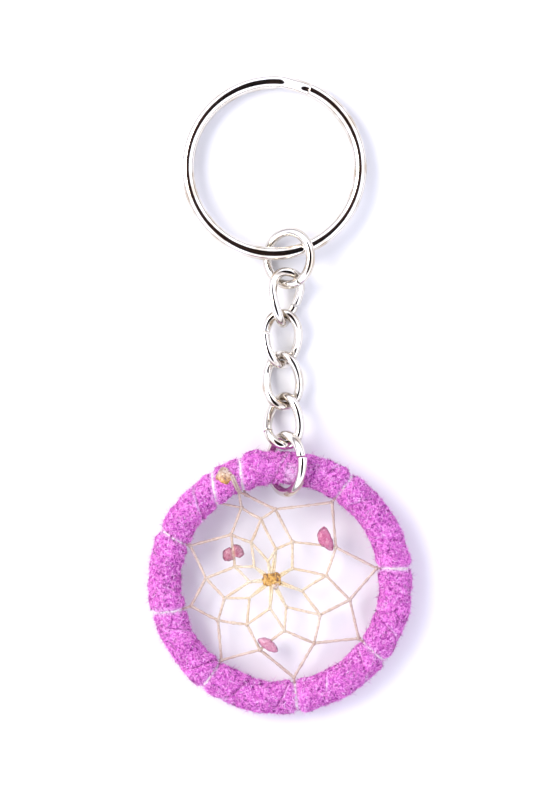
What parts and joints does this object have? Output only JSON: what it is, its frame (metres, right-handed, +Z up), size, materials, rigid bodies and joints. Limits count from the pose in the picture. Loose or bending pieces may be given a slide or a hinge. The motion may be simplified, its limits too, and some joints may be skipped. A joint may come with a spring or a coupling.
{
  "type": "dream catcher key chain",
  "caption": "Small dream catcher on a split key ring: suede-wrapped hoop with a knotted thread web and stone chips, hung by curb chain links and jump rings.",
  "frame": {"origin": "on the ground under the centre of the footprint, with the piece lying flat", "axes": "+Y from the hoop to the key ring along the chain, +Z up from the ground, +X to the right seen from above with the key ring at the far end"},
  "size_m": [0.0396, 0.0964, 0.0086],
  "materials": {
    "nickel": "polished nickel plating",
    "core_steel": "plain",
    "suede": "napped suede",
    "sinew": "waxed",
    "amber_glue": "glossy, hardened",
    "pink_stone": "tumbled, translucent"
  },
  "bodies": {
    "key_ring": {"key_ring": "nickel"},
    "upper_jump_ring": {"upper_jump_ring": "nickel"},
    "chain_link_1": {"chain_link_1": "nickel"},
    "chain_link_2": {"chain_link_2": "nickel"},
    "chain_link_3": {"chain_link_3": "nickel"},
    "chain_link_4": {"chain_link_4": "nickel"},
    "lower_jump_ring": {"lower_jump_ring": "nickel"},
    "hoop": {"hoop_core": "core_steel", "suede_wrap": "suede", "sinew_web": "sinew", "start_glue": "amber_glue", "centre_glue": "amber_glue"},
    "bead_1": {"bead_1": "pink_stone"},
    "bead_2": {"bead_2": "pink_stone"},
    "bead_3": {"bead_3": "pink_stone"}
  },
  "joints": [
    {"name": "upper_ring_on_key_ring", "type": "hinge", "parent": "key_ring", "child": "upper_jump_ring", "pos_m": [-0.00095, 0.02117, 0.00284], "axis": [1, 0, 0], "range_deg": [-20, 78]},
    {"name": "link_1_on_upper_ring", "type": "hinge", "parent": "upper_jump_ring", "child": "chain_link_1", "pos_m": [0.00125, 0.01659, 0.00302], "axis": [0.809, 0, 0.5878], "range_deg": [-18, 72]},
    {"name": "link_2_on_link_1", "type": "hinge", "parent": "chain_link_1", "child": "chain_link_2", "pos_m": [0.00039, 0.01058, 0.00262], "axis": [0.2362, 0.0002, -0.9717], "range_deg": [-58, 72]},
    {"name": "link_3_on_link_2", "type": "hinge", "parent": "chain_link_2", "child": "chain_link_3", "pos_m": [0.00012, 0.00434, 0.00188], "axis": [-0.6902, -0.0002, 0.7236], "range_deg": [-72, 58]},
    {"name": "link_4_on_link_3", "type": "hinge", "parent": "chain_link_3", "child": "chain_link_4", "pos_m": [0.00051, -0.00193, 0.00218], "axis": [-0.9089, 0, 0.4169], "range_deg": [-40, 25]},
    {"name": "lower_ring_on_link_4", "type": "hinge", "parent": "chain_link_4", "child": "lower_jump_ring", "pos_m": [0.00083, -0.00625, 0.00431], "axis": [-0.5446, 0, -0.8387], "range_deg": [-57, 25]},
    {"name": "hoop_in_lower_ring", "type": "hinge", "parent": "lower_jump_ring", "child": "hoop", "pos_m": [0, -0.01107, 0.00404], "axis": [-1, 0, 0], "range_deg": [-78, 78]},
    {"name": "bead_1_on_thread", "type": "slide", "parent": "hoop", "child": "bead_1", "axis": [0.1107, -0.9928, -0.0468], "range_m": [-0.0008, 0.0003]},
    {"name": "bead_2_on_thread", "type": "slide", "parent": "hoop", "child": "bead_2", "axis": [0.9921, -0.1254, -0.0059], "range_m": [-0.001, 0]},
    {"name": "bead_3_on_thread", "type": "slide", "parent": "hoop", "child": "bead_3", "axis": [-0.784, -0.6201, -0.0292], "range_m": [-0.001, 0]}
  ]
}
